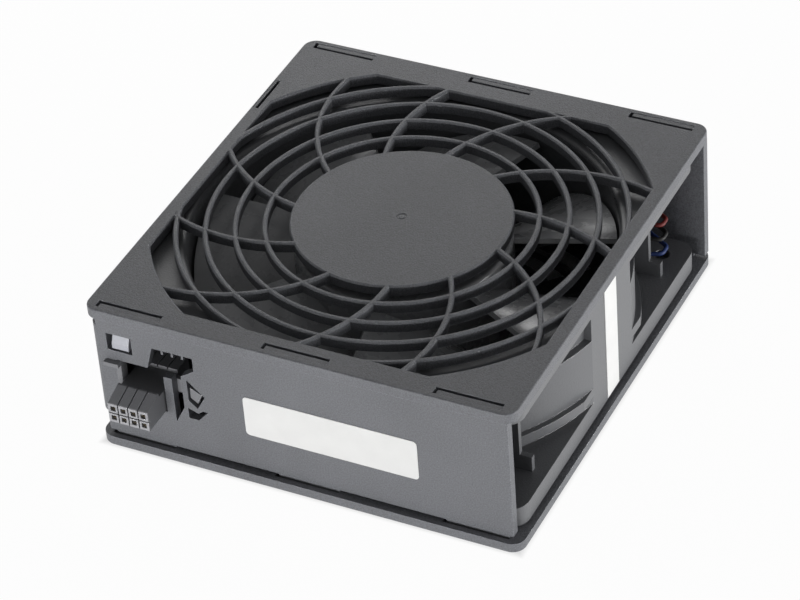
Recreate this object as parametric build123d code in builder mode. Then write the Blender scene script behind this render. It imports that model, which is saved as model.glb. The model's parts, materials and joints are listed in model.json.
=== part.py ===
"""Server fan cage: two moulded guards, a three-sided wall shell and a ducted axial fan.

Millimetres. X runs along the front wall, -Y is the front (connector side), +Z is up.
The origin is the middle of the base, on the surface that the cage stands on.
"""
from math import asin, cos, degrees, radians, sin
import os

from build123d import *

os.makedirs("parts", exist_ok=True)

# Cage outline, round the fan
guard_thickness = 3.0
guard_corner_radius = 3.8
guard_edge_radius = 0.5
flange_overhang = 1.55
front_space = 0.6
rear_space = 3.0
isolator_thickness = 1.1

# Guard grille, centred on the fan axis
opening_lip = 2.6
pin_land = 4.95
disc_lap = 0.5
ring_count = 4
inner_ring_gap = 6.6
outer_ring_gap = 6.8
bar_width = 1.45
bar_chamfer = 0.43
spoke_count = 11
spoke_bend_radius = 46.2
spoke_start_angle = 175.9
centre_mark_radius = 1.5
centre_mark_depth = 0.15

# Pins on each guard, for the fan's corner holes
pin_radius = 2.0
pin_clearance = 0.15
pin_engagement = 3.6

# Wall shell: front, left and rear walls with tabs that pass through the guards
wall_setback = 1.7
wall_thickness = 2.6
left_wall_inset = 0.1
left_wall_thickness = 1.2
wall_right_inset = 2.6
rear_wall_inset = 0.5
shell_corner_radius = 3.4
shadow_gap = 1.15
tab_inset = 13.0
tab_width = 17.9
tab_thickness = 1.5
tab_recess = 0.1
lower_tab_inset = 0.8
slot_gap = 0.95
slot_fit = 0.1
left_tab_inset = 27.6
left_tab_width = 13.9
left_tab_thickness = 0.7
relief_width = 2.2
relief_depth = 6.7
top_relief_height = 3.85
bottom_relief_height = 6.15

# Indicator window in the front wall
lamp_inset = 8.75
lamp_gap = 2.93
lamp_window_width = 7.5
lamp_window_height = 5.5
lens_width = 5.0
lens_height = 4.6
lens_recess = 0.4
lens_depth = 3.5
lens_slope = 1.3
holder_side_lap = 0.8
holder_top_lap = 0.3
holder_back = 1.2

# Power connector: four columns and two rows of contacts
pin_pitch = 3.0
columns = 4
rows = 2
connector_inset = 14.6
connector_rise = 14.6
nose_reach = 9.0
nose_length = 5.9
nose_rise = 1.9
body_length = 17.0
body_drop = 1.2
rear_ridge_length = 6.0
cell_size = 1.5
cell_depth = 5.0
groove_width = 0.4
groove_depth = 0.7
window_fit = 0.2
contact_wall = 0.2
contact_length = 4.0

# Connector window: the step above the body, the finger and the slot beside it
window_step_height = 5.6
window_slant_run = 4.0
window_slant_rise = 7.1
window_right_drop = 4.3
finger_gap = 0.3
finger_width = 2.4
finger_height = 3.85
slot_width = 3.0
slot_point_drop = 5.8
tooth_width = 0.6
tooth_height = 1.2

# Connector latches: a hook at the left and a spring arm at the right
latch_thickness = 1.4
hook_height = 1.2
hook_reach = 2.8
hook_clearance = 0.3
latch_reach = 15.9
latch_rise = 5.2
latch_window_half_height = 4.6
latch_window_half_width = 2.5
latch_fit = 0.5
arm_height = 4.4
notch_drop = 5.0
notch_width = 6.0
notch_height = 3.5

# Labels
label_thickness = 0.15
front_label_x = 8.1
front_label_rise = 17.5
front_label_width = 50.0
front_label_height = 12.7
label_corner_radius = 1.2
side_label_width = 7.6
side_label_offset = -0.35
side_label_margin = 0.6

# Fan frame
fan_size = 120.0
fan_depth = 38.0
fan_corner_radius = 5.0
lower_flange = 6.0
upper_flange = 4.0
fan_hole_inset = 7.5
bore_wall = 2.2
barrel_bulge = 1.4
bead_rise = 2.0
bead_depth = 1.6
bead_height = 2.9
upper_wall = 1.5
upper_step_height = 26.8
bellmouth_radius = 1.6
isolator_radius = 5.0
motor_base_lap = 0.4
motor_base_thickness = 3.0
strut_count = 5
strut_width = 5.0
strut_height = 4.0
strut_start_angle = 45.0
channel_margin = 0.5
wire_slot_length = 3.4
web_inset = 17.3
web_thickness = 1.6
web_notch = 7.3
web_ledge = 4.6
web_ledge_length = 3.4

# Rotor
blade_count = 7
blade_start_angle = 48.6
tip_clearance = 0.8
hub_radius = 29.6
hub_wall = 3.4
hub_floor = 2.4
hub_edge_radius = 1.2
hub_top_gap = 2.0
hub_bottom_gap = 6.8
blade_root_run = 26.4
blade_root_rise = 24.0
blade_tip_run = 58.0
blade_tip_rise = 21.0
blade_camber = 0.09
blade_thickness = 2.0
blade_edge = 1.4
cup_wall = 1.6
magnet_thickness = 3.0
magnet_height = 18.0
shaft_radius = 2.0
collar_radius = 5.0
collar_clearance = 0.3

# Bearings and their tube
bearing_radius = 5.5
bearing_width = 4.0
running_clearance = 0.04
tube_wall = 1.5
tube_top_drop = 10.0
tube_step = 0.9
washer_thickness = 0.6
lower_bearing_height = 4.0
clip_radius = 3.6
clip_thickness = 0.6
clip_clearance = 0.25
tube_floor = 1.5

# Stator and motor board
board_thickness = 1.6
board_height = 4.2
board_radius = 25.0
board_clearance = 0.2
board_boss_radius = 9.5
pole_count = 4
air_gap = 0.6
core_height = 12.0
core_bottom = 11.0
core_ring = 3.0
pole_width = 6.0
shoe_thickness = 3.2
shoe_gap = 5.0
insulation = 0.6
coil_thickness = 2.6
coil_inset = 1.6

# Wires
wire_radius = 0.6
wire_pitch = 1.8
wire_bend = 1.5
wide_bend = 4.0
wire_start_radius = 22.0
riser_gap = 3.0
groove_cut = 1.6
groove_margin = 1.0
red_run_height = 19.5
black_run_height = 14.7
blue_run_height = 9.9
loop_inset = 5.5
loop_start = 12.0
loop_length = 3.5
back_inset = 13.0
back_run = 3.8
rear_start_inset = 20.0
entry_run = 8.3
turn_run = 12.0
lamp_wire_radius = 0.5
lamp_wire_spread = 2.4
lamp_wire_drop = 2.4

# Values worked out from the ones above
cage_width = fan_size + 2 * flange_overhang
cage_height = fan_depth + 2 * (guard_thickness + isolator_thickness)
wall_face_y = (fan_size + front_space + rear_space) / 2 + wall_thickness
cage_depth = 2 * (wall_face_y + wall_setback)
wall_bottom = guard_thickness + shadow_gap
wall_top = cage_height - guard_thickness
left_face_x = -cage_width / 2 + left_wall_inset
right_end_x = cage_width / 2 - wall_right_inset
rear_end_x = cage_width / 2 - rear_wall_inset
fan_y = (front_space - rear_space) / 2
fan_rear_y = fan_y + fan_size / 2
fan_bottom = guard_thickness + isolator_thickness
fan_top = fan_bottom + fan_depth
fan_hole_pitch = fan_size - 2 * fan_hole_inset
opening_width = fan_size - 2 * opening_lip
opening_radius = fan_hole_pitch / 2 ** 0.5 - pin_radius - pin_land
disc_radius = hub_radius + disc_lap
first_ring_radius = disc_radius + inner_ring_gap
last_ring_radius = opening_radius - outer_ring_gap
ring_pitch = (last_ring_radius - first_ring_radius) / (ring_count - 1)
tab_places = [(step - 1) * (cage_width / 2 - tab_inset) for step in range(3)]
left_tab_y = wall_face_y - left_tab_inset
front = Plane(origin=(0, -wall_face_y, 0), x_dir=(1, 0, 0), z_dir=(0, -1, 0))
axis_plane = Plane(origin=(0, fan_y, 0), x_dir=(1, 0, 0), z_dir=(0, 0, 1))


def polar(radius, angle):
    """A plan point at this radius and angle about the fan axis."""
    return (radius * cos(radians(angle)), fan_y + radius * sin(radians(angle)))


def bar_profile(middle):
    """Section of a grille bar at this distance from the axis it turns about."""
    half = bar_width / 2
    return (
        (middle - half, guard_thickness),
        (middle + half, guard_thickness),
        (middle + half, bar_chamfer),
        (middle + half - bar_chamfer, 0),
        (middle - half + bar_chamfer, 0),
        (middle - half, bar_chamfer),
    )


def turn_plane(centre, angle):
    """Upright plane through an axis at this centre, its own x running out at this angle."""
    x, y = cos(radians(angle)), sin(radians(angle))
    return Plane(origin=(*centre, 0), x_dir=(x, y, 0), z_dir=(y, -x, 0))


def spoke_turn(radius):
    """How far a spoke turns about the centre of its bend, from the fan axis out to this radius."""
    return 2 * degrees(asin(radius / (2 * spoke_bend_radius)))


# Guard opening, widened by a bevel at the outer face
with BuildPart() as guard_bevel:
    with BuildSketch(axis_plane):
        Rectangle(opening_width + 2 * bar_chamfer, opening_width + 2 * bar_chamfer)
    extrude(amount=bar_chamfer, taper=45)
    with BuildSketch(axis_plane):
        Circle(opening_radius + bar_chamfer)
    extrude(amount=bar_chamfer, taper=45, mode=Mode.INTERSECT)

with BuildPart() as guard_opening:
    with BuildSketch(axis_plane):
        Rectangle(opening_width, opening_width)
        Circle(opening_radius, mode=Mode.INTERSECT)
    extrude(amount=guard_thickness)
    add(guard_bevel.part)

# Grille: rings turned about the fan axis, spokes turned about the centres of their bends
fan_axis = Axis((0, fan_y, 0), (0, 0, 1))
spoke_inner = spoke_turn(disc_radius - bar_width)
spoke_outer = spoke_turn(opening_radius + bar_width)
with BuildPart() as guard_bars:
    with BuildSketch(turn_plane((0, fan_y), 0)):
        for step in range(ring_count):
            with BuildLine():
                Polyline(*bar_profile(first_ring_radius + step * ring_pitch), close=True)
            make_face()
        with BuildLine():
            Polyline(
                (0, 0),
                (disc_radius - bar_chamfer, 0),
                (disc_radius, bar_chamfer),
                (disc_radius, guard_thickness),
                (0, guard_thickness),
                close=True,
            )
        make_face()
    revolve(axis=fan_axis)
    for spoke in range(spoke_count):
        spoke_angle = spoke_start_angle - spoke * 360 / spoke_count - 90
        spoke_centre = polar(spoke_bend_radius, spoke_angle)
        with BuildSketch(turn_plane(spoke_centre, spoke_angle + 180 - spoke_inner)):
            with BuildLine():
                Polyline(*bar_profile(spoke_bend_radius), close=True)
            make_face()
        revolve(axis=Axis((*spoke_centre, 0), (0, 0, -1)), revolution_arc=spoke_outer - spoke_inner)
    with BuildSketch():
        with Locations((0, fan_y)):
            Rectangle(opening_width + bar_width, opening_width + bar_width)
            Circle(opening_radius + bar_width / 2, mode=Mode.INTERSECT)
    extrude(amount=guard_thickness, mode=Mode.INTERSECT)

slot_depth = slot_fit + tab_thickness + slot_gap
slot_length = tab_width + slot_gap + slot_fit
slot_y = wall_face_y + slot_fit - slot_depth / 2
left_tab_x = left_face_x + left_wall_thickness - left_tab_thickness
left_slot_depth = slot_fit + left_tab_thickness + slot_gap
with BuildSketch() as guard_slots:
    for side in (-1, 1):
        for place in tab_places:
            with Locations((place + (slot_fit - slot_gap) / 2, side * slot_y)):
                Rectangle(slot_length, slot_depth)
    with Locations((left_tab_x - slot_fit, left_tab_y)):
        Rectangle(left_slot_depth, left_tab_width + 2 * slot_fit, align=(Align.MIN, Align.CENTER))

# Bottom guard: plate, spiral grille, corner pins and tab slots
with BuildPart() as bottom_guard:
    with BuildSketch():
        RectangleRounded(cage_width, cage_depth, guard_corner_radius)
    extrude(amount=guard_thickness)
    fillet(bottom_guard.faces().sort_by(Axis.Z)[0].edges(), guard_edge_radius)
    add(guard_opening.part, mode=Mode.SUBTRACT)
    with BuildSketch():
        add(guard_slots.sketch)
    extrude(amount=guard_thickness, mode=Mode.SUBTRACT)
    add(guard_bars.part)
    with BuildSketch(axis_plane.offset(guard_thickness)):
        with GridLocations(fan_hole_pitch, fan_hole_pitch, 2, 2):
            Circle(pin_radius)
    extrude(amount=isolator_thickness + pin_engagement)
bottom_guard.part.label = "bottom_guard"
export_step(bottom_guard.part, "parts/bottom_guard.step")

# Top guard: the bottom one mirrored, with a round moulding mark in the middle of its disc
with BuildPart() as top_guard:
    mirror(bottom_guard.part, about=Plane.XY.offset(cage_height / 2))
    with BuildSketch(axis_plane.offset(cage_height)):
        Circle(centre_mark_radius)
        Circle(centre_mark_radius / 2, mode=Mode.SUBTRACT)
    extrude(amount=-centre_mark_depth, mode=Mode.SUBTRACT)
top_guard.part.label = "top_guard"
export_step(top_guard.part, "parts/top_guard.step")

# Rubber isolators between the guards and the fan's corners
for name, level in (("lower_isolators", guard_thickness), ("upper_isolators", fan_top)):
    with BuildPart() as isolators:
        with BuildSketch(axis_plane.offset(level)):
            with GridLocations(fan_hole_pitch, fan_hole_pitch, 2, 2):
                Circle(isolator_radius)
                Circle(pin_radius + pin_clearance, mode=Mode.SUBTRACT)
        extrude(amount=isolator_thickness)
    isolators.part.label = name
    export_step(isolators.part, f"parts/{name}.step")

# Connector window in wall coordinates, from its lower left corner round to the finger
connector_x = left_face_x + connector_inset
connector_z = wall_bottom + connector_rise
latch_window_x = connector_x + latch_reach
latch_window_z = connector_z + latch_rise
body_half = columns * pin_pitch / 2
body_low = connector_z - rows * pin_pitch / 2
body_high = connector_z + rows * pin_pitch / 2 + nose_rise
window_left = connector_x - body_half - latch_thickness - window_fit
window_right = connector_x + body_half + window_fit
step_z = body_high + window_step_height
lamp_x = left_face_x + lamp_inset
lamp_z = step_z + lamp_gap + lamp_window_height / 2
slant_x = connector_x + body_half
top_z = step_z + window_slant_rise
top_left_x = slant_x - window_slant_run / 2
finger_left = window_right + finger_gap
finger_right = finger_left + finger_width
finger_top = body_high + finger_height
slot_right = finger_right + slot_width
top_right_x = top_left_x + columns * pin_pitch

# Wall shell
inner_depth = 2 * (wall_face_y - wall_thickness)
tab_reach = cage_height / 2 - tab_recess
tab_levels = (
    (tab_recess, tab_reach, lower_tab_inset),
    (cage_height - tab_recess, -tab_reach, 0),
)
with BuildPart() as wall_shell:
    with BuildSketch(Plane.XY.offset(wall_bottom)):
        RectangleRounded(-2 * left_face_x, 2 * wall_face_y, shell_corner_radius)
        with Locations((left_face_x + left_wall_thickness, 0)):
            Rectangle(cage_width, inner_depth, align=(Align.MIN, Align.CENTER), mode=Mode.SUBTRACT)
        with Locations((0, wall_face_y)):
            Rectangle(rear_end_x, wall_thickness, align=(Align.MIN, Align.MAX))
        with Locations((rear_end_x, 0)):
            Rectangle(cage_width, cage_depth, align=(Align.MIN, Align.CENTER), mode=Mode.SUBTRACT)
        with Locations((right_end_x, 0)):
            Rectangle(cage_width, cage_depth, align=(Align.MIN, Align.MAX), mode=Mode.SUBTRACT)
    extrude(amount=wall_top - wall_bottom)
    for level, amount, inset in tab_levels:
        with BuildSketch(Plane.XY.offset(level)):
            for side in (-1, 1):
                for place in tab_places:
                    with Locations((place, side * (wall_face_y - inset - tab_thickness / 2))):
                        Rectangle(tab_width, tab_thickness)
        extrude(amount=amount)
    with BuildSketch(Plane.XY.offset(tab_recess)):
        with Locations((left_tab_x, left_tab_y)):
            Rectangle(left_tab_thickness, left_tab_width, align=(Align.MIN, Align.CENTER))
    extrude(amount=cage_height - 2 * tab_recess)
    with Locations((left_face_x, -wall_face_y, wall_top)):
        Box(2 * relief_width, 2 * relief_depth, 2 * top_relief_height, mode=Mode.SUBTRACT)
    with Locations((left_face_x, -wall_face_y, wall_bottom)):
        Box(2 * relief_width, 2 * relief_depth, 2 * bottom_relief_height, mode=Mode.SUBTRACT)
    with BuildSketch(front):
        with Locations((lamp_x, lamp_z)):
            Rectangle(lamp_window_width, lamp_window_height)
        with BuildLine():
            Polyline(
                (window_left, body_low - window_fit),
                (window_left, step_z),
                (slant_x - window_slant_run, step_z),
                (top_left_x, top_z),
                (top_right_x, top_z),
                (top_right_x, top_z - window_right_drop),
                (slot_right, step_z),
                (slot_right, body_low + slot_width),
                (finger_right, body_low - slot_point_drop + slot_width),
                (finger_right, finger_top),
                (finger_left, finger_top),
                (finger_left, body_low - window_fit),
                close=True,
            )
        make_face()
        for tooth in range(1, columns):
            with Locations((top_left_x + tooth * pin_pitch, top_z)):
                Rectangle(tooth_width, 2 * tooth_height, mode=Mode.SUBTRACT)
    extrude(amount=-wall_thickness, mode=Mode.SUBTRACT)
    with BuildSketch(front):
        with BuildLine():
            Polyline(
                (latch_window_x - latch_window_half_width, latch_window_z + latch_window_half_height),
                (latch_window_x + latch_window_half_width, latch_window_z),
                (latch_window_x, latch_window_z - latch_window_half_height),
                (latch_window_x - latch_window_half_width, latch_window_z - latch_window_half_height / 2),
                close=True,
            )
        make_face()
        with BuildLine():
            Polyline(
                (latch_window_x - notch_width / 2, latch_window_z - notch_drop),
                (latch_window_x - notch_width / 2, latch_window_z - notch_drop - notch_height),
                (latch_window_x, latch_window_z - notch_drop - notch_height),
                (latch_window_x + notch_width / 2, latch_window_z - notch_drop),
                (latch_window_x + notch_width / 4, latch_window_z - notch_drop),
                (latch_window_x, latch_window_z - notch_drop - notch_height / 3),
                close=True,
            )
        make_face()
    extrude(amount=-wall_thickness, mode=Mode.SUBTRACT)
wall_shell.part.label = "wall_shell"
export_step(wall_shell.part, "parts/wall_shell.step")

# Connector housing: side profile across the columns, then grooves, cells and latches
nose_y = -wall_face_y - nose_reach
neck_y = nose_y + nose_length
rear_y = neck_y + body_length
ridge_y = rear_y - rear_ridge_length
column_places = [connector_x + (column - (columns - 1) / 2) * pin_pitch for column in range(columns)]
row_places = [connector_z + (row - (rows - 1) / 2) * pin_pitch for row in range(rows)]
column_gaps = [place + pin_pitch / 2 for place in column_places[:-1]]
row_gaps = [place + pin_pitch / 2 for place in row_places[:-1]]
nose_face = Plane(origin=(0, nose_y, 0), x_dir=(1, 0, 0), z_dir=(0, -1, 0))
wall_back = front.offset(-wall_thickness)
latch_left = latch_window_x - latch_window_half_width + latch_fit

with BuildPart() as connector_housing:
    with BuildSketch(Plane.YZ.offset(connector_x - body_half)):
        with BuildLine():
            Polyline(
                (nose_y, body_low),
                (nose_y, body_high - nose_rise),
                (neck_y, body_high),
                (neck_y + groove_depth, body_high),
                (neck_y + groove_depth, body_high - body_drop),
                (ridge_y, body_high - body_drop),
                (ridge_y, body_high),
                (rear_y, body_high),
                (rear_y, body_low),
                close=True,
            )
        make_face()
    extrude(amount=2 * body_half)
    for gap in column_gaps:
        with BuildSketch(Plane.YZ.offset(gap - groove_width / 2)):
            with BuildLine():
                Polyline(
                    (nose_y, body_high - nose_rise - groove_depth),
                    (nose_y, body_high),
                    (rear_y, body_high),
                    (rear_y, body_high - groove_depth),
                    (neck_y, body_high - groove_depth),
                    close=True,
                )
            make_face()
        extrude(amount=groove_width, mode=Mode.SUBTRACT)
    with BuildSketch(nose_face):
        for gap in column_gaps:
            with Locations((gap, connector_z)):
                Rectangle(groove_width, rows * pin_pitch)
        for gap in row_gaps:
            with Locations((connector_x, gap)):
                Rectangle(columns * pin_pitch, groove_width)
    extrude(amount=-groove_depth, mode=Mode.SUBTRACT)
    with BuildSketch(nose_face):
        with Locations((connector_x, connector_z)):
            with GridLocations(pin_pitch, pin_pitch, columns, rows):
                Rectangle(cell_size, cell_size)
    extrude(amount=-cell_depth, mode=Mode.SUBTRACT)
    with BuildSketch(front.offset(hook_clearance)):
        with Locations((connector_x - body_half, step_z - window_fit)):
            Rectangle(latch_thickness, step_z - body_low, align=(Align.MAX, Align.MAX))
    extrude(amount=-hook_clearance - wall_thickness)
    with BuildSketch(front.offset(hook_clearance)):
        with Locations((connector_x - body_half, step_z - window_fit)):
            Rectangle(latch_thickness + window_fit + hook_reach, hook_height, align=(Align.MAX, Align.MAX))
    extrude(amount=latch_thickness)
    with BuildSketch(wall_back):
        with Locations((connector_x + body_half, latch_window_z - latch_fit)):
            Rectangle(latch_window_x - connector_x - body_half, arm_height, align=(Align.MIN, Align.CENTER))
    extrude(amount=-latch_thickness)
    with BuildSketch(wall_back):
        with BuildLine():
            Polyline(
                (latch_left, latch_window_z + arm_height / 2 - latch_fit),
                (latch_window_x + latch_window_half_width - 2 * latch_fit, latch_window_z),
                (latch_window_x, latch_window_z - latch_window_half_height + 3 * latch_fit),
                (latch_left, latch_window_z - arm_height / 2 + latch_fit),
                close=True,
            )
        make_face()
    extrude(amount=wall_thickness - latch_fit)
connector_housing.part.label = "connector_housing"
export_step(connector_housing.part, "parts/connector_housing.step")

# Contacts: a spring sleeve at the bottom of each cell
with BuildPart() as connector_contacts:
    with BuildSketch(nose_face.offset(-cell_depth)):
        with Locations((connector_x, connector_z)):
            with GridLocations(pin_pitch, pin_pitch, columns, rows):
                Rectangle(cell_size, cell_size)
                Rectangle(cell_size - 2 * contact_wall, cell_size - 2 * contact_wall, mode=Mode.SUBTRACT)
    extrude(amount=contact_length)
connector_contacts.part.label = "connector_contacts"
export_step(connector_contacts.part, "parts/connector_contacts.step")

# Indicator: lens whose face leans back above its lower third, and the holder that clips it behind the wall
lens_y = lens_recess - wall_face_y
lens_low = lamp_z - lens_height / 2
with BuildPart() as lamp_lens:
    with BuildSketch(Plane.YZ.offset(lamp_x - lens_width / 2)):
        with BuildLine():
            Polyline(
                (lens_y, lens_low),
                (lens_y, lens_low + lens_height / 3),
                (lens_y + lens_slope, lens_low + lens_height),
                (lens_y + lens_depth, lens_low + lens_height),
                (lens_y + lens_depth, lens_low),
                close=True,
            )
        make_face()
    extrude(amount=lens_width)
lamp_lens.part.label = "lamp_lens"
export_step(lamp_lens.part, "parts/lamp_lens.step")

holder_depth = lens_recess + lens_depth - wall_thickness + holder_back
with BuildPart() as lamp_holder:
    with BuildSketch(wall_back):
        with Locations((lamp_x, lamp_z)):
            Rectangle(lamp_window_width + 2 * holder_side_lap, lamp_window_height + 2 * holder_top_lap)
    extrude(amount=-holder_depth)
    with BuildSketch(wall_back):
        with Locations((lamp_x, lamp_z)):
            Rectangle(lens_width, lens_height)
    extrude(amount=holder_back - holder_depth, mode=Mode.SUBTRACT)
lamp_holder.part.label = "lamp_holder"
export_step(lamp_holder.part, "parts/lamp_holder.step")

# Labels: thin sheets on the front wall and on the fan's right pad
with BuildPart() as front_label:
    with BuildSketch(front):
        with Locations((front_label_x, wall_bottom + front_label_rise)):
            RectangleRounded(front_label_width, front_label_height, label_corner_radius)
    extrude(amount=label_thickness)
front_label.part.label = "front_label"
export_step(front_label.part, "parts/front_label.step")

side_label_height = fan_depth - 2 * side_label_margin
with BuildPart() as side_label:
    with BuildSketch(Plane.YZ.offset(fan_size / 2)):
        with Locations((fan_y + side_label_offset, cage_height / 2)):
            Rectangle(side_label_width, side_label_height)
    extrude(amount=label_thickness)
side_label.part.label = "side_label"
export_step(side_label.part, "parts/side_label.step")

# Heights inside the fan, from its lower face up
bore_radius = fan_size / 2 - bore_wall
barrel_radius = fan_size / 2 + barrel_bulge
bead_radius = barrel_radius + bead_depth
wire_riser_radius = bead_radius + riser_gap
motor_base_radius = hub_radius + motor_base_lap
tube_radius = bearing_radius + tube_wall
tube_bottom = fan_bottom + tube_floor
lower_bearing_z = fan_bottom + lower_bearing_height
upper_bearing_z = fan_top - tube_top_drop - bearing_width
washer_z = upper_bearing_z - washer_thickness
tube_top = upper_bearing_z + bearing_width
board_z = fan_bottom + board_height
core_z = fan_bottom + core_bottom
hub_bottom = fan_bottom + hub_bottom_gap
hub_top = fan_top - hub_top_gap
cup_radius = hub_radius - hub_wall
cup_top = hub_top - hub_floor
magnet_radius = cup_radius - cup_wall
magnet_bore = magnet_radius - magnet_thickness
core_radius = magnet_bore - air_gap
tip_radius = bore_radius - tip_clearance
wire_z = fan_bottom + channel_margin + wire_radius
wire_span = 2 * (wire_pitch + wire_radius + channel_margin)
channel_height = 2 * (wire_radius + channel_margin)


def plain_ring(radius, hole, level, height):
    """A plain ring about the fan axis, from this level up."""
    with BuildPart() as part:
        with BuildSketch(axis_plane.offset(level)):
            Circle(radius)
            Circle(hole, mode=Mode.SUBTRACT)
        extrude(amount=height)
    return part.part


# Fan frame: barrel cut flat at its four sides and stepped in above, bead, flanges, corner webs, base and struts
wire_plane = Plane(
    origin=(0, fan_y, fan_bottom),
    x_dir=(cos(radians(strut_start_angle)), sin(radians(strut_start_angle)), 0),
    z_dir=(0, 0, 1),
)
pad_width = 2 * (barrel_radius ** 2 - (fan_size / 2) ** 2) ** 0.5
groove_height = red_run_height - blue_run_height + 2 * groove_margin
web_x = fan_size / 2 - web_notch
web_middle = fan_size / 2 - web_inset + web_thickness / 2
with BuildPart() as fan_frame:
    with BuildSketch(axis_plane.offset(fan_bottom)):
        Circle(barrel_radius)
        Rectangle(fan_size, fan_size, mode=Mode.INTERSECT)
    extrude(amount=upper_step_height)
    with BuildSketch(axis_plane.offset(fan_bottom + upper_step_height)):
        Circle(bore_radius + upper_wall)
        Rectangle(fan_size, pad_width)
        Rectangle(pad_width, fan_size)
    extrude(amount=fan_depth - upper_step_height)
    with BuildSketch(axis_plane.offset(fan_bottom + lower_flange + bead_rise)):
        Circle(bead_radius)
        Rectangle(fan_size, fan_size, mode=Mode.INTERSECT)
    extrude(amount=bead_height)
    for level, thickness in ((fan_bottom, lower_flange), (fan_top - upper_flange, upper_flange)):
        with BuildSketch(axis_plane.offset(level)):
            RectangleRounded(fan_size, fan_size, fan_corner_radius)
            with GridLocations(fan_hole_pitch, fan_hole_pitch, 2, 2):
                Circle(pin_radius + pin_clearance, mode=Mode.SUBTRACT)
        extrude(amount=thickness)
    with BuildSketch(axis_plane.offset(fan_bottom)):
        with Locations((0, -web_middle), (0, web_middle)):
            Rectangle(web_x, web_thickness, align=(Align.MIN, Align.CENTER))
    extrude(amount=fan_depth)
    with BuildSketch(axis_plane.offset(fan_bottom + lower_flange)):
        with Locations((web_x, -web_middle), (web_x, web_middle)):
            Rectangle(web_ledge_length, web_thickness, align=(Align.MIN, Align.CENTER))
    extrude(amount=web_ledge)
    with Locations((-fan_size / 2, fan_y, fan_bottom + (red_run_height + blue_run_height) / 2)):
        Box(2 * groove_cut, 2 * pad_width, groove_height, mode=Mode.SUBTRACT)
    with BuildSketch(axis_plane.offset(fan_bottom)):
        Circle(bore_radius)
    extrude(amount=fan_depth, mode=Mode.SUBTRACT)
    upper_edges = fan_frame.edges().filter_by(GeomType.CIRCLE).group_by(Axis.Z)[-1]
    fillet(upper_edges.sort_by(SortBy.RADIUS)[-1], bellmouth_radius)
    with BuildSketch(axis_plane.offset(fan_bottom)):
        with PolarLocations(0, strut_count, start_angle=strut_start_angle):
            with Locations((motor_base_radius - strut_width / 4, 0)):
                Rectangle(barrel_radius - motor_base_radius, strut_width, align=(Align.MIN, Align.CENTER))
    extrude(amount=strut_height)
    with BuildSketch(wire_plane):
        with Locations((motor_base_radius - strut_width / 4, 0)):
            Rectangle(
                barrel_radius - motor_base_radius,
                wire_span + strut_width / 2,
                align=(Align.MIN, Align.CENTER),
            )
    extrude(amount=strut_height)
    with BuildSketch(axis_plane.offset(fan_bottom)):
        Circle(motor_base_radius)
    extrude(amount=motor_base_thickness)
    with BuildSketch(axis_plane.offset(fan_bottom)):
        Circle(board_boss_radius)
    extrude(amount=board_height)
    with BuildSketch(axis_plane.offset(tube_bottom)):
        Circle(tube_radius)
    extrude(amount=board_z - tube_bottom, mode=Mode.SUBTRACT)
    with BuildSketch(wire_plane):
        with Locations((wire_start_radius - wire_slot_length / 2, 0)):
            Rectangle(
                wire_riser_radius - wire_start_radius + wire_slot_length,
                wire_span,
                align=(Align.MIN, Align.CENTER),
            )
    extrude(amount=channel_height, mode=Mode.SUBTRACT)
    with BuildSketch(wire_plane):
        with Locations((wire_start_radius, 0), (wire_riser_radius, 0)):
            Rectangle(wire_slot_length, wire_span)
    extrude(amount=lower_flange, mode=Mode.SUBTRACT)
fan_frame.part.label = "fan_frame"
export_step(fan_frame.part, "parts/fan_frame.step")

# Impeller: hub cup and swept blades, each lofted from its root section to its tip section
blade_middle = (hub_bottom + hub_top) / 2


def blade_section(radius, run, rise):
    """Blade outline on a plane across the radius, bowed between its leading and trailing edges."""
    length = (run ** 2 + rise ** 2) ** 0.5
    bow = blade_camber * length

    def place(along, offset):
        return (along * run / 2 + offset * rise / length, -along * rise / 2 + offset * run / length)

    with BuildSketch(Plane(origin=(radius, 0, blade_middle), x_dir=(0, 1, 0), z_dir=(1, 0, 0))) as section:
        with BuildLine():
            under = ThreePointArc(
                place(-1, -blade_edge / 2),
                place(0, bow - blade_thickness / 2),
                place(1, -blade_edge / 2),
            )
            over = ThreePointArc(
                place(-1, blade_edge / 2),
                place(0, bow + blade_thickness / 2),
                place(1, blade_edge / 2),
            )
            Line(under @ 0, over @ 0)
            Line(under @ 1, over @ 1)
        make_face()
    return section.sketch


blade_root = blade_section(cup_radius + cup_wall / 8, blade_root_run, blade_root_rise)
blade_tip = blade_section(tip_radius + hub_wall, blade_tip_run, blade_tip_rise)
with BuildPart() as blade:
    loft([blade_root, blade_tip])
    Cylinder(tip_radius, 2 * cage_height, mode=Mode.INTERSECT)

with BuildPart() as impeller:
    with BuildSketch(axis_plane.offset(hub_bottom)):
        Circle(hub_radius)
    extrude(amount=hub_top - hub_bottom)
    fillet(impeller.faces().sort_by(Axis.Z)[-1].edges(), hub_edge_radius)
    for step in range(blade_count):
        with Locations(Location((0, fan_y, 0), (0, 0, blade_start_angle + step * 360 / blade_count))):
            add(blade.part)
    with BuildSketch(axis_plane.offset(hub_bottom)):
        Circle(cup_radius)
    extrude(amount=cup_top - hub_bottom, mode=Mode.SUBTRACT)
impeller.part.label = "impeller"
export_step(impeller.part, "parts/impeller.step")

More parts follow.
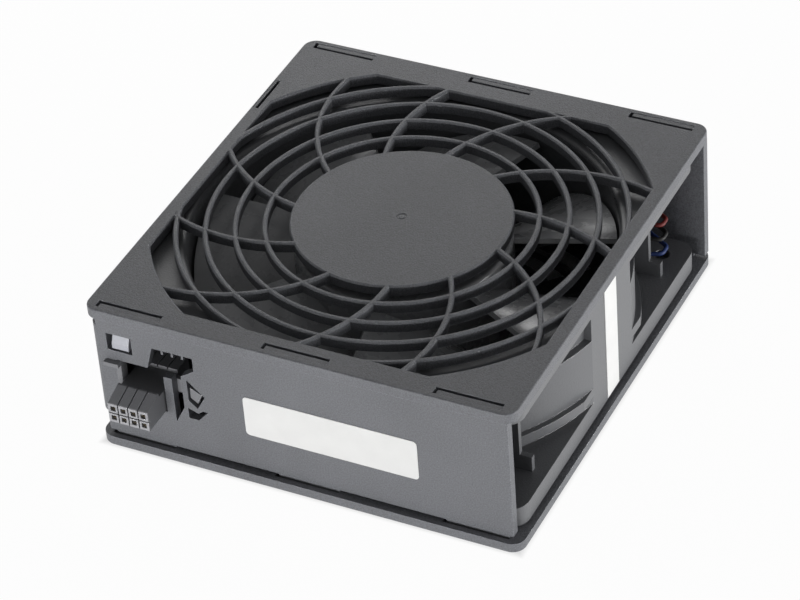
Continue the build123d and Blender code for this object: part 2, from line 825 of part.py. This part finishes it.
# Rotor cup: steel yoke with a collar for the shaft
collar_bottom = tube_top + collar_clearance
with BuildPart() as rotor_cup:
    with BuildSketch(axis_plane.offset(hub_bottom)):
        Circle(cup_radius)
    extrude(amount=cup_top - hub_bottom)
    with BuildSketch(axis_plane.offset(hub_bottom)):
        Circle(magnet_radius)
    extrude(amount=cup_top - cup_wall - hub_bottom, mode=Mode.SUBTRACT)
    with BuildSketch(axis_plane.offset(collar_bottom)):
        Circle(collar_radius)
    extrude(amount=cup_top - collar_bottom)
    with BuildSketch(axis_plane.offset(collar_bottom)):
        Circle(shaft_radius)
    extrude(amount=cup_top - collar_bottom, mode=Mode.SUBTRACT)
rotor_cup.part.label = "rotor_cup"
export_step(rotor_cup.part, "parts/rotor_cup.step")

# Magnet, shaft, bearings and the small rings on the axis
bearing_bore = shaft_radius + running_clearance
clip_z = lower_bearing_z - clip_clearance - clip_thickness
shaft_bottom = clip_z - clip_thickness
axis_rings = {
    "rotor_magnet": plain_ring(magnet_radius, magnet_bore, hub_bottom + air_gap, magnet_height),
    "shaft_clip": plain_ring(clip_radius, shaft_radius, clip_z, clip_thickness),
    "lower_bearing": plain_ring(bearing_radius, bearing_bore, lower_bearing_z, bearing_width),
    "upper_bearing": plain_ring(bearing_radius, bearing_bore, upper_bearing_z, bearing_width),
    "wave_washer": plain_ring(bearing_radius, bearing_radius - 2 * tube_step, washer_z, washer_thickness),
}
for name, piece in axis_rings.items():
    piece.label = name
    export_step(piece, f"parts/{name}.step")

with BuildPart() as rotor_shaft:
    with BuildSketch(axis_plane.offset(shaft_bottom)):
        Circle(shaft_radius)
    extrude(amount=cup_top - shaft_bottom)
rotor_shaft.part.label = "rotor_shaft"
export_step(rotor_shaft.part, "parts/rotor_shaft.step")

# Bearing tube: stepped inside, so each bearing has a shoulder
with BuildPart() as bearing_tube:
    with BuildSketch(axis_plane.offset(tube_bottom)):
        Circle(tube_radius)
        Circle(bearing_radius - tube_step, mode=Mode.SUBTRACT)
    extrude(amount=tube_top - tube_bottom)
    with BuildSketch(axis_plane.offset(tube_bottom)):
        Circle(bearing_radius)
    extrude(amount=lower_bearing_z + bearing_width - tube_bottom, mode=Mode.SUBTRACT)
    with BuildSketch(axis_plane.offset(washer_z)):
        Circle(bearing_radius)
    extrude(amount=tube_top - washer_z, mode=Mode.SUBTRACT)
bearing_tube.part.label = "bearing_tube"
export_step(bearing_tube.part, "parts/bearing_tube.step")

# Stator core: ring, poles and shoes
core_ring_radius = tube_radius + core_ring
shoe_inner = core_radius - shoe_thickness
with BuildPart() as stator_core:
    with BuildSketch(axis_plane.offset(core_z)):
        Circle(core_radius)
        Circle(shoe_inner, mode=Mode.SUBTRACT)
        with PolarLocations(0, pole_count, start_angle=180 / pole_count):
            Rectangle(core_radius, shoe_gap, align=(Align.MIN, Align.CENTER), mode=Mode.SUBTRACT)
        with PolarLocations(0, pole_count):
            Rectangle(shoe_inner + shoe_thickness / 2, pole_width, align=(Align.MIN, Align.CENTER))
        Circle(core_ring_radius)
        Circle(tube_radius, mode=Mode.SUBTRACT)
    extrude(amount=core_height)
stator_core.part.label = "stator_core"
export_step(stator_core.part, "parts/stator_core.step")

# Insulator: end plates above and below the core, and side walls along the poles
coil_start = core_ring_radius + insulation / 3
coil_end = shoe_inner - coil_inset
coil_length = coil_end - coil_start
wrapped_width = pole_width + 2 * insulation
with BuildPart() as stator_insulator:
    for level in (core_z - insulation, core_z + core_height):
        with BuildSketch(axis_plane.offset(level)):
            with PolarLocations(0, pole_count):
                Rectangle(coil_end, wrapped_width, align=(Align.MIN, Align.CENTER))
            Circle(core_ring_radius)
            Circle(tube_radius, mode=Mode.SUBTRACT)
        extrude(amount=insulation)
    with BuildSketch(axis_plane.offset(core_z)):
        with PolarLocations(0, pole_count):
            with Locations((coil_start, 0)):
                Rectangle(coil_length, wrapped_width, align=(Align.MIN, Align.CENTER))
                Rectangle(coil_length, pole_width, align=(Align.MIN, Align.CENTER), mode=Mode.SUBTRACT)
    extrude(amount=core_height)
stator_insulator.part.label = "stator_insulator"
export_step(stator_insulator.part, "parts/stator_insulator.step")

# Windings: one coil round each pole
with BuildPart() as stator_windings:
    with BuildSketch(axis_plane.offset(core_z - insulation - coil_thickness)):
        with PolarLocations(0, pole_count):
            with Locations((coil_start, 0)):
                Rectangle(coil_length, wrapped_width + 2 * coil_thickness, align=(Align.MIN, Align.CENTER))
    extrude(amount=core_height + 2 * (insulation + coil_thickness))
    with BuildSketch(axis_plane.offset(core_z - insulation)):
        with PolarLocations(0, pole_count):
            Rectangle(core_radius, wrapped_width, align=(Align.MIN, Align.CENTER))
    extrude(amount=core_height + 2 * insulation, mode=Mode.SUBTRACT)
stator_windings.part.label = "stator_windings"
export_step(stator_windings.part, "parts/stator_windings.step")

# Motor board on its boss; the leads are soldered to its lower face
with BuildPart() as motor_board:
    with BuildSketch(axis_plane.offset(board_z)):
        Circle(board_radius)
        Circle(tube_radius + board_clearance, mode=Mode.SUBTRACT)
    extrude(amount=board_thickness)
motor_board.part.label = "motor_board"
export_step(motor_board.part, "parts/motor_board.step")


def swept_wire(points, bends, radius):
    """A round wire along these points, with one bend radius for each inner point."""
    with BuildPart() as part:
        with BuildLine() as route:
            FilletPolyline(*points, radius=bends)
        with BuildSketch(Plane(origin=route.line @ 0, z_dir=route.line % 0)):
            Circle(radius)
        sweep()
    return part.part


def lead_point(radius, offset):
    """A plan point along the wire strut, set off to one side of it."""
    across = strut_start_angle + 90
    x, y = polar(radius, strut_start_angle)
    return (x + offset * cos(radians(across)), y + offset * sin(radians(across)))


# Motor leads: under the board, along the wire strut, up behind the rear web, round the fan to the connector
rear_run_y = (fan_rear_y + wall_face_y - wall_thickness) / 2
left_run_x = (left_face_x + left_wall_thickness - fan_size / 2 + groove_cut) / 2
entry_y = rear_y + entry_run
loop_x = fan_size / 2 - loop_inset
loop_y = fan_rear_y - loop_start
leads = (
    ("wire_red", 1, red_run_height, column_places[0], row_places[1]),
    ("wire_black", 0, black_run_height, column_places[0], row_places[0]),
    ("wire_blue", -1, blue_run_height, column_places[1], row_places[0]),
)
for name, lane, run_height, cell_x, cell_z in leads:
    start = lead_point(wire_start_radius, lane * wire_pitch)
    riser = lead_point(wire_riser_radius, lane * wire_pitch)
    run_z = fan_bottom + run_height
    wire = swept_wire(
        [
            (*start, board_z),
            (*start, wire_z),
            (*riser, wire_z),
            (*riser, run_z),
            (loop_x, loop_y, run_z),
            (loop_x, loop_y + loop_length, run_z),
            (fan_size / 2 - back_inset, fan_rear_y - back_run, run_z),
            (fan_size / 2 - rear_start_inset, rear_run_y, run_z),
            (left_run_x, rear_run_y, run_z),
            (left_run_x, entry_y + turn_run, run_z),
            (cell_x, entry_y, cell_z),
            (cell_x, rear_y, cell_z),
        ],
        [wire_bend] * 5 + [wide_bend] * 5,
        wire_radius,
    )
    wire.label = name
    export_step(wire, f"parts/{name}.step")

# Indicator wires: from the back of the holder down to the connector
holder_back_y = -wall_face_y + wall_thickness + holder_depth
lamp_leads = []
for side, cell_x in ((-1, column_places[1]), (1, column_places[2])):
    lamp_wire_x = lamp_x + side * lamp_wire_spread / 2
    turn_y = entry_y - lamp_wire_drop - side * lamp_wire_spread / 2
    lamp_leads.append(
        swept_wire(
            [
                (lamp_wire_x, holder_back_y, lamp_z),
                (lamp_wire_x, turn_y, lamp_z),
                (cell_x, turn_y + lamp_wire_spread / 2, row_places[1]),
                (cell_x, rear_y, row_places[1]),
            ],
            [wire_bend] * 2,
            lamp_wire_radius,
        )
    )
with BuildPart() as lamp_wires:
    add(lamp_leads)
lamp_wires.part.label = "lamp_wires"
export_step(lamp_wires.part, "parts/lamp_wires.step")
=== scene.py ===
"""Looks of the server fan cage: moulded charcoal plastic round a dark glossy fan, on a white studio floor."""
import json
from math import radians

import bpy
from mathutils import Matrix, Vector


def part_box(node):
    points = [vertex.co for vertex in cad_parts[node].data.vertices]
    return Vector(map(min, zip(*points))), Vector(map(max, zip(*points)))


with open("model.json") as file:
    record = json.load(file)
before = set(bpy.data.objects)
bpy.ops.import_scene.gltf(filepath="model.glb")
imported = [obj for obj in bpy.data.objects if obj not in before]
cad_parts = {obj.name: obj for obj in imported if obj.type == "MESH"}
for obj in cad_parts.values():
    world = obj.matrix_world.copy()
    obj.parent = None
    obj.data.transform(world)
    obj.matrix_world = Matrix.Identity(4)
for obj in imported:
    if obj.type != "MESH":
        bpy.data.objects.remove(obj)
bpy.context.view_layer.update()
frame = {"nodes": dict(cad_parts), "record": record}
nodes = frame["nodes"]
materials = {}  # by the slot that each one fills

MM = 0.001

# Camera: where the photographer stood, in millimetres and degrees
CAMERA_PLACE = (356.0, -663.1, 609.4)
CAMERA_TURN = (51.713, 3.633, 25.582)
CAMERA_LENS = 158.7
CAMERA_SENSOR = 36.0

# Studio, in metres
FLOOR_SIZE = 6
FLOOR_GLOW = 0.97  # share of the floor's look that is plain white, so that the rest keeps the shadow
SHADE_INSET = 4 * MM  # the floor turns dark between these two distances from the cage's outline
SHADE_OUTSET = 1 * MM
LAMP_TARGET = (0, 0, 24 * MM)
WORLD_STRENGTH = 0.18

# Places of the Mix node's colour sockets
MIX_FIRST, MIX_SECOND, MIX_RESULT = 6, 7, 2


class Shader:
    """A material's node tree, with short calls for the nodes that the finishes share."""

    def __init__(self, name):
        self.material = materials[name] = bpy.data.materials.new(name)
        self.material.use_nodes = True
        self.tree = self.material.node_tree
        self.surface = self.tree.nodes["Principled BSDF"]
        self.place = self.node("ShaderNodeTexCoord").outputs["Object"]

    def node(self, kind, **settings):
        made = self.tree.nodes.new(kind)
        for key, value in settings.items():
            setattr(made, key, value)
        return made

    def link(self, source, target):
        self.tree.links.new(source, target)

    def fill(self, **sockets):
        """Constants for the surface's own sockets."""
        for key, value in sockets.items():
            self.surface.inputs[key.replace("_", " ")].default_value = value

    def noise(self, grain_mm, detail=2.0, roughness=0.5):
        """Noise with grains of about this size."""
        made = self.node("ShaderNodeTexNoise")
        made.inputs["Scale"].default_value = 1 / (grain_mm * MM)
        made.inputs["Detail"].default_value = detail
        made.inputs["Roughness"].default_value = roughness
        self.link(self.place, made.inputs["Vector"])
        return made.outputs["Fac"]

    def spread(self, source, low, high, from_low=0.3, from_high=0.7):
        """The source, stretched to run from low to high."""
        made = self.node("ShaderNodeMapRange")
        made.inputs["From Min"].default_value = from_low
        made.inputs["From Max"].default_value = from_high
        made.inputs["To Min"].default_value = low
        made.inputs["To Max"].default_value = high
        self.link(source, made.inputs["Value"])
        return made.outputs["Result"]

    def maths(self, operation, first, second):
        """One Math node; each input is a number or another node's output."""
        made = self.node("ShaderNodeMath", operation=operation)
        for socket, value in zip(made.inputs, (first, second)):
            if isinstance(value, (int, float)):
                socket.default_value = value
            else:
                self.link(value, socket)
        return made.outputs["Value"]

    def blend(self, amount, first, second):
        """Colour between first and second; each is a colour or another node's output."""
        made = self.node("ShaderNodeMix", data_type="RGBA")
        self.link(amount, made.inputs["Factor"])
        for socket, colour in ((made.inputs[MIX_FIRST], first), (made.inputs[MIX_SECOND], second)):
            if isinstance(colour, tuple):
                socket.default_value = (*colour, 1)
            else:
                self.link(colour, socket)
        return made.outputs[MIX_RESULT]

    def along(self, axis):
        """Place along one axis of the object, in metres."""
        parts = self.node("ShaderNodeSeparateXYZ")
        self.link(self.place, parts.inputs["Vector"])
        return parts.outputs[axis]

    def round_edges(self, radius_mm):
        """Normals that run round each sharp edge, and how far they still agree with the face's own."""
        bevel = self.node("ShaderNodeBevel", samples=6)
        bevel.inputs["Radius"].default_value = radius_mm * MM
        flat = self.node("ShaderNodeNewGeometry").outputs["True Normal"]
        facing = self.node("ShaderNodeVectorMath", operation="DOT_PRODUCT")
        self.link(bevel.outputs["Normal"], facing.inputs[0])
        self.link(flat, facing.inputs[1])
        return bevel.outputs["Normal"], facing.outputs["Value"]

    def bump(self, height, depth_mm, strength, normal=None):
        """Relief of the surface, on top of the given normals or the mesh's own."""
        made = self.node("ShaderNodeBump")
        made.inputs["Distance"].default_value = depth_mm * MM
        made.inputs["Strength"].default_value = strength
        self.link(height, made.inputs["Height"])
        if normal is not None:
            self.link(normal, made.inputs["Normal"])
        self.link(made.outputs["Normal"], self.surface.inputs["Normal"])


def shaded(colour, factor):
    return tuple(factor * c for c in colour)


class Moulding(Shader):
    """Moulded plastic: spark texture, faint clouding, and sharp edges lightened as a painted highlight mixed
    with uneven wear, and smoother.
    """

    cloud_mm = 30
    cloud_share = 0.2
    edge_wear_and_highlight_patch_mm = 2.5
    least_edge_wear_and_highlight = 0.35  # where the painted edge highlight and wear are weakest, against where they are strongest
    edge_highlight_paler = 4.0  # colour of an edge at full painted highlight and wear, against the plain colour
    smoother = 0.7  # share of the roughness that an edge loses

    def __init__(
        self, name, colour, grain_mm, relief, roughness, edge_mm=0.2, edge_wear_and_highlight=0.0, speckle=0.1, gloss=0.5,
    ):
        super().__init__(name)
        self.fill(Specular_IOR_Level=gloss)
        grain = self.noise(grain_mm, detail=3, roughness=0.6)
        cloud = self.noise(self.cloud_mm, detail=4)
        grain_part = self.maths("MULTIPLY", grain, 1 - self.cloud_share)
        cloud_part = self.maths("MULTIPLY", cloud, self.cloud_share)
        tone = self.spread(self.maths("ADD", grain_part, cloud_part), 0, 1, 0.35, 0.65)
        plain = self.blend(tone, shaded(colour, 1 - speckle), shaded(colour, 1 + speckle))
        normal, flatness = self.round_edges(edge_mm)
        # Sharp edges are painted lighter: a painted highlight along each edge, in uneven patches like wear.
        edges = self.spread(flatness, 1, 0, 0.8, 0.99)
        uneven = self.spread(self.noise(self.edge_wear_and_highlight_patch_mm, detail=3), self.least_edge_wear_and_highlight * edge_wear_and_highlight, edge_wear_and_highlight)
        self.colour = self.blend(self.maths("MULTIPLY", edges, uneven), plain, shaded(colour, self.edge_highlight_paler))
        self.link(self.colour, self.surface.inputs["Base Color"])
        dull = self.spread(grain, roughness - 0.06, roughness + 0.08)
        polish = self.spread(flatness, self.smoother * roughness, 0, 0.97, 1.0)
        self.link(self.maths("SUBTRACT", dull, polish), self.surface.inputs["Roughness"])
        self.bump(grain, grain_mm, relief, normal)


def metal(name, colour, roughness, grain_mm):
    """Turned or drawn metal with a fine uneven sheen."""
    shader = Shader(name)
    shader.fill(Metallic=1.0)
    grain = shader.noise(grain_mm, detail=3)
    tone = shader.blend(shader.spread(grain, 0, 1), shaded(colour, 0.75), colour)
    shader.link(tone, shader.surface.inputs["Base Color"])
    shader.link(shader.spread(grain, roughness - 0.08, roughness + 0.1), shader.surface.inputs["Roughness"])
    shader.bump(grain, grain_mm, 0.1)


def label_film(name, colour):
    """Label stock, left bare: slightly uneven white with a satin face."""
    shader = Shader(name)
    cloud = shader.noise(6, detail=4)
    tone = shader.blend(shader.spread(cloud, 0, 1), shaded(colour, 0.95), colour)
    shader.link(tone, shader.surface.inputs["Base Color"])
    fibre = shader.noise(0.5, detail=3)
    shader.link(shader.spread(fibre, 0.38, 0.5), shader.surface.inputs["Roughness"])
    shader.bump(fibre, depth_mm=0.05, strength=0.15)


def connector_finish(name, colour, worn_colour):
    """Dark connector moulding whose plugging face is worn pale."""
    shader = Moulding(name, colour, grain_mm=0.3, relief=0.15, roughness=0.45, edge_mm=0.25, edge_wear_and_highlight=0.4)
    low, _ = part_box("connector_housing")
    face = shader.spread(shader.along("Y"), 1, 0, low[1] + 0.15 * MM, low[1] + 0.4 * MM)
    worn = shader.maths("MULTIPLY", face, shader.spread(shader.noise(0.8, detail=3), 0.55, 1.0))
    shader.link(shader.blend(worn, shader.colour, worn_colour), shader.surface.inputs["Base Color"])


def sleeve(name, colour, roughness=0.6):
    """Sleeve of a lead."""
    Moulding(name, colour, grain_mm=0.6, relief=0.05, roughness=roughness, edge_mm=0.1)


Moulding(
    "cage_plastic", (0.119, 0.123, 0.135),
    grain_mm=0.4, relief=0.5, roughness=0.5, edge_mm=0.22, edge_wear_and_highlight=1.0, speckle=0.35, gloss=0.7,
)
Moulding(
    "fan_plastic", (0.11, 0.113, 0.12),
    grain_mm=0.5, relief=0.15, roughness=0.42, edge_mm=0.25, edge_wear_and_highlight=0.1, gloss=0.8,
)
# Base colour is lighter than the dark blades' own: painted sheen standing in for their glossy highlights.
Moulding(
    "impeller_plastic", (0.32, 0.325, 0.338),
    grain_mm=6.0, relief=0.0, roughness=0.27, edge_mm=0.05, speckle=0.02, gloss=1.0,
)
connector_finish("connector_plastic", (0.18, 0.182, 0.193), worn_colour=(0.4, 0.4, 0.42))
Moulding(
    "lens_plastic", (0.42, 0.43, 0.47),
    grain_mm=0.8, relief=0.03, roughness=0.4, edge_mm=0.3, speckle=0.05,
)
Moulding("holder_plastic", (0.02, 0.02, 0.022), grain_mm=0.3, relief=0.15, roughness=0.5, edge_wear_and_highlight=0.2)
Moulding("isolator_rubber", (0.02, 0.02, 0.02), grain_mm=0.3, relief=0.2, roughness=0.7, edge_wear_and_highlight=0.1)
Moulding("insulator_plastic", (0.6, 0.57, 0.5), grain_mm=0.3, relief=0.1, roughness=0.5)
Moulding("board_laminate", (0.05, 0.2, 0.1), grain_mm=0.4, relief=0.1, roughness=0.35, edge_mm=0.1)
Moulding("magnet_ferrite", (0.09, 0.085, 0.085), grain_mm=0.3, relief=0.2, roughness=0.7, edge_wear_and_highlight=0.1)
sleeve("wire_red", (0.14, 0.012, 0.01))
sleeve("wire_black", (0.012, 0.012, 0.012))
sleeve("wire_blue", (0.01, 0.028, 0.12))
sleeve("lamp_wire", (0.03, 0.03, 0.03), roughness=0.4)
metal("contact_metal", (0.72, 0.6, 0.38), roughness=0.3, grain_mm=0.2)
metal("rotor_steel", (0.5, 0.5, 0.5), roughness=0.4, grain_mm=0.3)
metal("bearing_steel", (0.62, 0.62, 0.63), roughness=0.25, grain_mm=0.2)
metal("tube_brass", (0.7, 0.52, 0.22), roughness=0.3, grain_mm=0.3)
metal("core_steel", (0.3, 0.3, 0.31), roughness=0.45, grain_mm=0.4)
metal("winding_copper", (0.6, 0.26, 0.12), roughness=0.3, grain_mm=0.3)
label_film("label_paper", (0.8, 0.8, 0.79))

for entry in frame["record"]["subparts"]:
    slots = nodes[entry["node"]].data.materials
    slots.clear()
    slots.append(materials[entry["material_slot"]])


def studio_floor():
    """White floor that keeps the cage's shadow, and stays dark under the cage where the grille shows it."""
    bpy.ops.mesh.primitive_plane_add(size=FLOOR_SIZE)
    floor = bpy.context.object
    floor.name = "studio_floor"
    shader = Shader("studio_white")
    shader.fill(Base_Color=(0.9, 0.9, 0.9, 1), Roughness=0.9, Specular_IOR_Level=0.1)
    _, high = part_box("bottom_guard")
    past_side = shader.maths("SUBTRACT", shader.maths("ABSOLUTE", shader.along("X"), 0), high[0])
    past_end = shader.maths("SUBTRACT", shader.maths("ABSOLUTE", shader.along("Y"), 0), high[1])
    past = shader.maths("MAXIMUM", past_side, past_end)
    clear = shader.spread(past, 0, 1, -SHADE_INSET, SHADE_OUTSET)
    path = shader.node("ShaderNodeLightPath")
    rays = shader.maths("MAXIMUM", path.outputs["Is Camera Ray"], path.outputs["Is Glossy Ray"])
    rays = shader.maths("MAXIMUM", rays, path.outputs["Is Transmission Ray"])
    white_share = shader.maths("MULTIPLY", shader.maths("MULTIPLY", rays, FLOOR_GLOW), clear)
    glow = shader.node("ShaderNodeEmission")
    mix = shader.node("ShaderNodeMixShader")
    shader.link(white_share, mix.inputs["Fac"])
    shader.link(shader.surface.outputs["BSDF"], mix.inputs[1])
    shader.link(glow.outputs["Emission"], mix.inputs[2])
    shader.link(mix.outputs["Shader"], shader.tree.nodes["Material Output"].inputs["Surface"])
    floor.data.materials.append(shader.material)


def soft_box(name, place, width, height, watts):
    """A studio light that faces the middle of the cage."""
    data = bpy.data.lights.new(name, "AREA")
    data.shape = "RECTANGLE"
    data.size = width
    data.size_y = height
    data.energy = watts
    lamp = bpy.data.objects.new(name, data)
    bpy.context.scene.collection.objects.link(lamp)
    lamp.location = place
    lamp.rotation_euler = (Vector(LAMP_TARGET) - Vector(place)).to_track_quat("-Z", "Y").to_euler()


studio_floor()
soft_box("right_side", place=(1.15, 0.25, 0.1), width=0.9, height=0.2, watts=13)
soft_box("front", place=(-0.1, -1.25, 0.08), width=0.9, height=0.16, watts=12.2)
soft_box("rear", place=(-0.26, 0.42, 0.25), width=0.5, height=0.18, watts=1.05)

world = bpy.data.worlds.new("studio_world")
bpy.context.scene.world = world
world.use_nodes = True
world.node_tree.nodes["Background"].inputs["Color"].default_value = (1, 1, 1, 1)
world.node_tree.nodes["Background"].inputs["Strength"].default_value = WORLD_STRENGTH

camera_data = bpy.data.cameras.new("camera")
camera_data.lens = CAMERA_LENS
camera_data.sensor_width = CAMERA_SENSOR
camera = bpy.data.objects.new("camera", camera_data)
camera.location = tuple(MM * value for value in CAMERA_PLACE)
camera.rotation_euler = tuple(radians(value) for value in CAMERA_TURN)
bpy.context.scene.collection.objects.link(camera)
bpy.context.scene.camera = camera
bpy.context.scene.view_settings.view_transform = "Standard"
